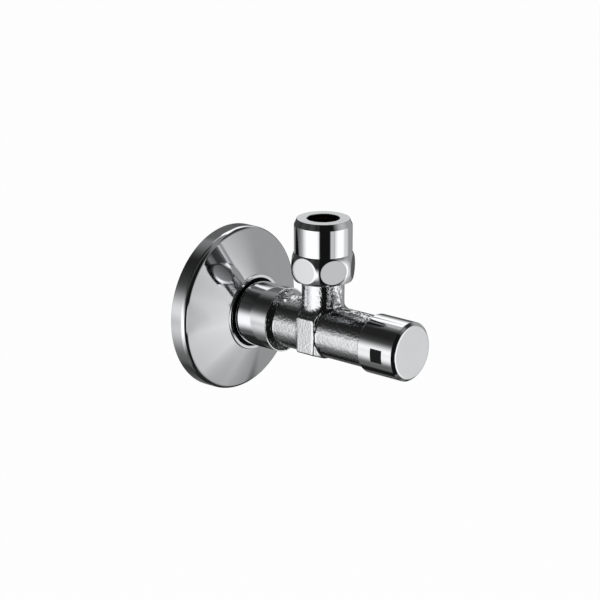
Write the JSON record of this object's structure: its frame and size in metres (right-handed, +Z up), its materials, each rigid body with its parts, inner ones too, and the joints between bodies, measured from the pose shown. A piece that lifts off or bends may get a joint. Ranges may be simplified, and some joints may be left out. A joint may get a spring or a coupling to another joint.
{
  "type": "angle valve",
  "caption": "Chromed wall-mounted angle valve with sliding rosette, cast body with spanner flats, compression nut outlet pointing up and a cylindrical knob on a non-rising spindle.",
  "frame": {"origin": "on the valve's axis in the wall plane, where the rosette's back edge lies", "axes": "-Y along the valve's axis from the wall to the knob, +Z up along the outlet"},
  "size_m": [0.054, 0.088, 0.0635],
  "materials": {
    "chrome_plated_brass": "bright chrome plating on brass",
    "black_plastic": "black moulded plastic",
    "bare_brass": "turned brass",
    "black_rubber": "black seal rubber",
    "steel": "bright steel",
    "white_plastic": "plain sealing plastic"
  },
  "bodies": {
    "valve": {"valve_body": "chrome_plated_brass", "inlet_seal_ring": "black_rubber", "bonnet": "bare_brass", "bonnet_gasket": "white_plastic", "thrust_washer": "white_plastic"},
    "rosette": {"wall_rosette": "chrome_plated_brass", "rosette_grip_ring": "black_plastic"},
    "olive": {"compression_ring": "bare_brass"},
    "nut": {"compression_nut": "chrome_plated_brass"},
    "knob": {"spindle": "bare_brass", "spindle_inner_o_ring": "black_rubber", "spindle_outer_o_ring": "black_rubber", "spindle_circlip": "steel", "knob_carrier": "black_plastic", "carrier_screw": "steel", "knob_sleeve": "chrome_plated_brass"},
    "piston": {"piston": "bare_brass", "piston_o_ring": "black_rubber", "valve_washer": "black_rubber", "retaining_washer": "bare_brass", "valve_washer_screw": "steel"}
  },
  "joints": [
    {"name": "knob_turn", "type": "hinge", "parent": "valve", "child": "knob", "pos_m": [0, -0.065, 0], "axis": [0, -1, 0], "range_deg": [0, 900]},
    {"name": "piston_lift", "type": "slide", "parent": "valve", "child": "piston", "axis": [0, -1, 0], "range_m": [0, 0.00376]},
    {"name": "rosette_slide", "type": "slide", "parent": "valve", "child": "rosette", "axis": [0, -1, 0], "range_m": [0, 0.01]},
    {"name": "olive_lift", "type": "slide", "parent": "valve", "child": "olive", "axis": [0, 0, 1], "range_m": [0, 0.00536]},
    {"name": "nut_turn", "type": "hinge", "parent": "olive", "child": "nut", "pos_m": [0, -0.0408, 0.0267], "axis": [0, 0, 1], "range_deg": [0, 1440]}
  ],
  "couplings": [
    {"joint": "piston_lift", "follows": "knob_turn", "m_per_rad": 0.00023873},
    {"joint": "olive_lift", "follows": "nut_turn", "m_per_rad": 0.00021279}
  ]
}
